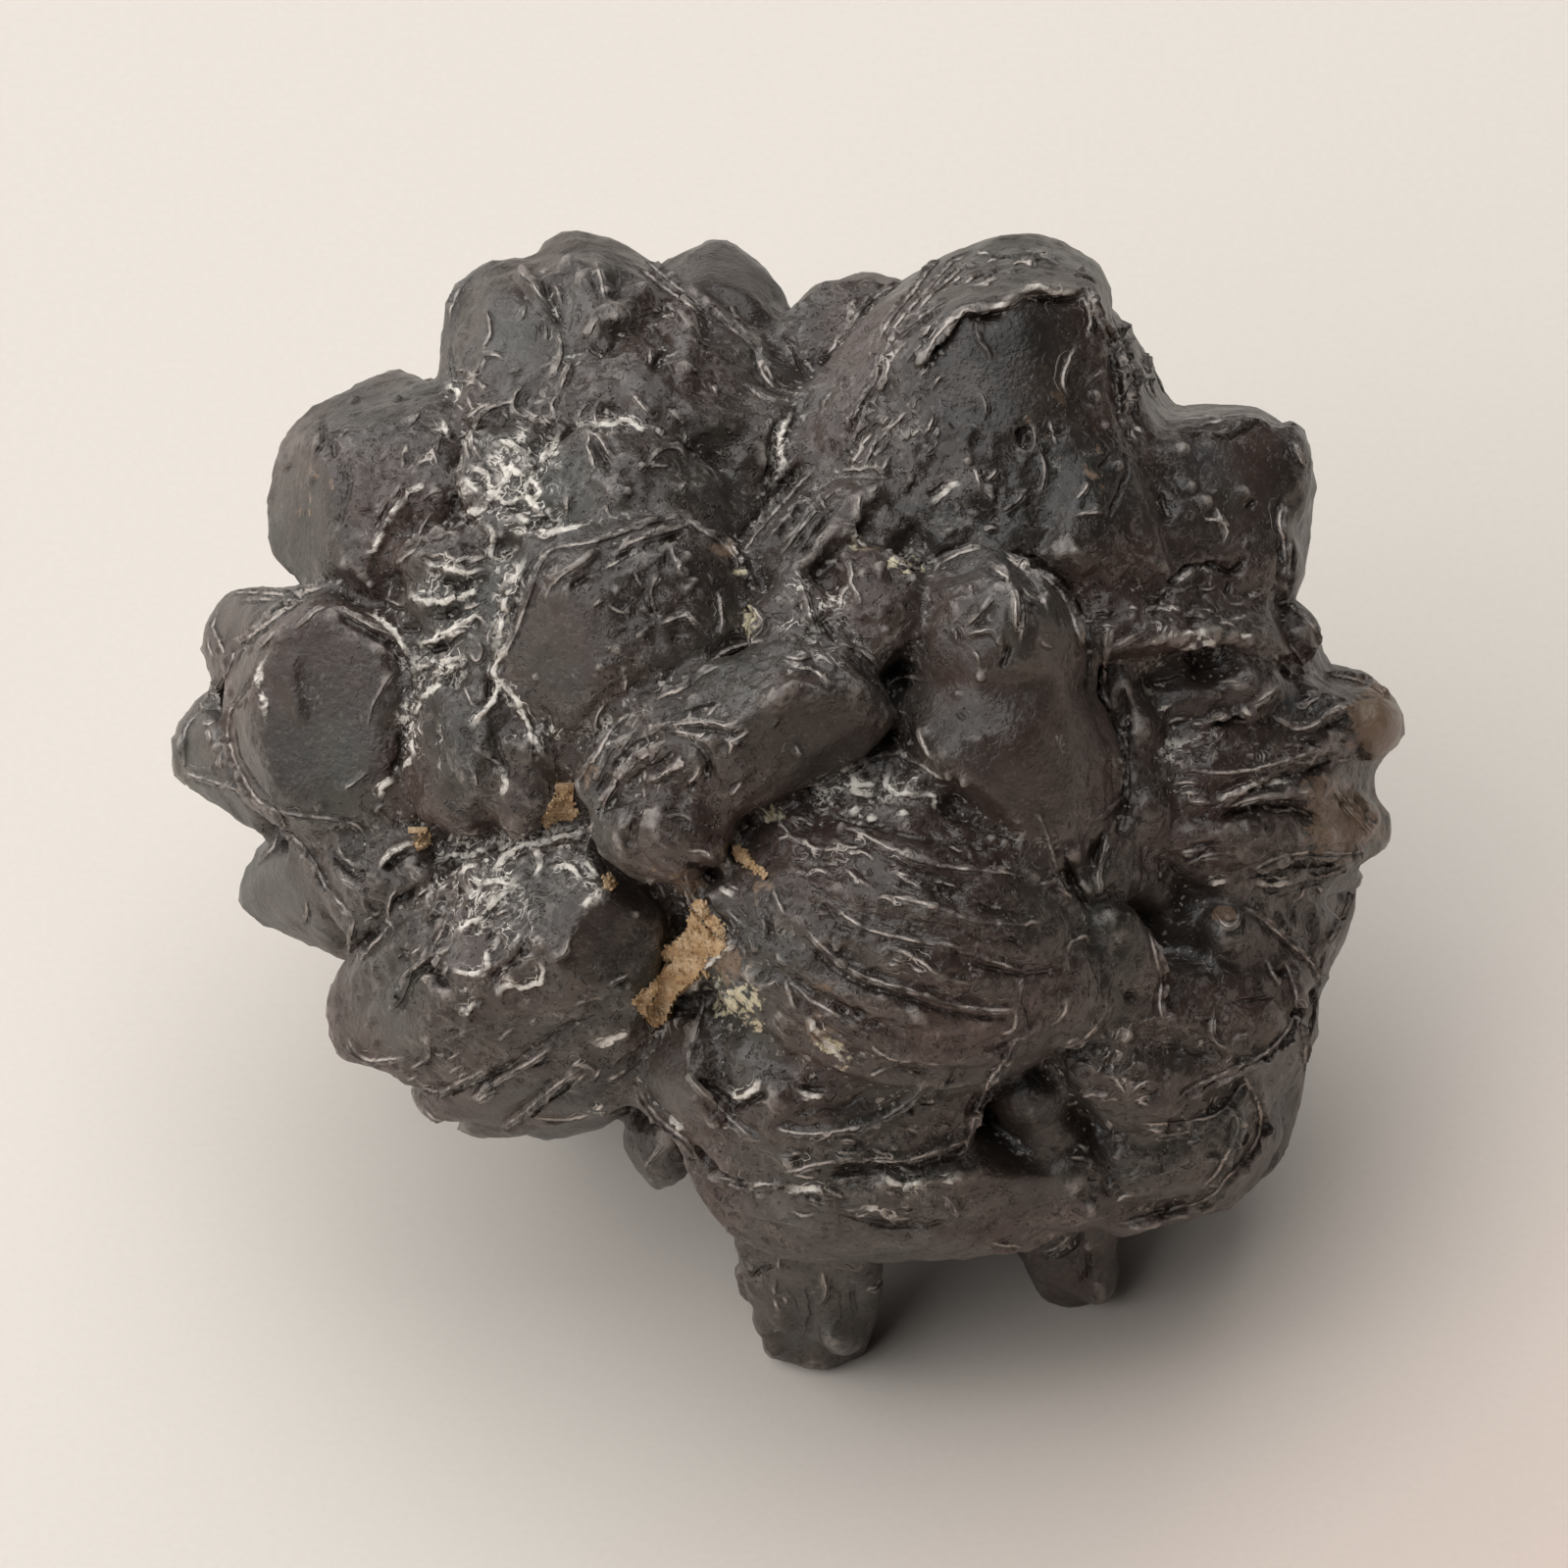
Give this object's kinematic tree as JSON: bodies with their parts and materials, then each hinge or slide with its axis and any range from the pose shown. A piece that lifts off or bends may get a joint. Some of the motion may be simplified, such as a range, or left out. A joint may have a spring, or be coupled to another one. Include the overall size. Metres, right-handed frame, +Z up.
{
  "type": "goethite and hematite specimen",
  "caption": "Rounded cluster of worn, tabular and ribbed crystals grown together round a centre, dark brown-grey, free-standing on worn crystal tips",
  "frame": {"origin": "centre of the bounding box in plan, on the ground", "axes": "+Z up; +X to the right of someone who looks at the stone's face; the face looks towards -Y and upwards"},
  "size_m": [0.051, 0.0425, 0.0435],
  "materials": {
    "iron_oxide": "dense iron oxide, satin to waxy, worn shiny on the ridges, with pale dust in the crevices and ochre sand in a few pockets"
  },
  "bodies": {
    "root": {"crystal_cluster": "iron_oxide"}
  },
  "joints": []
}
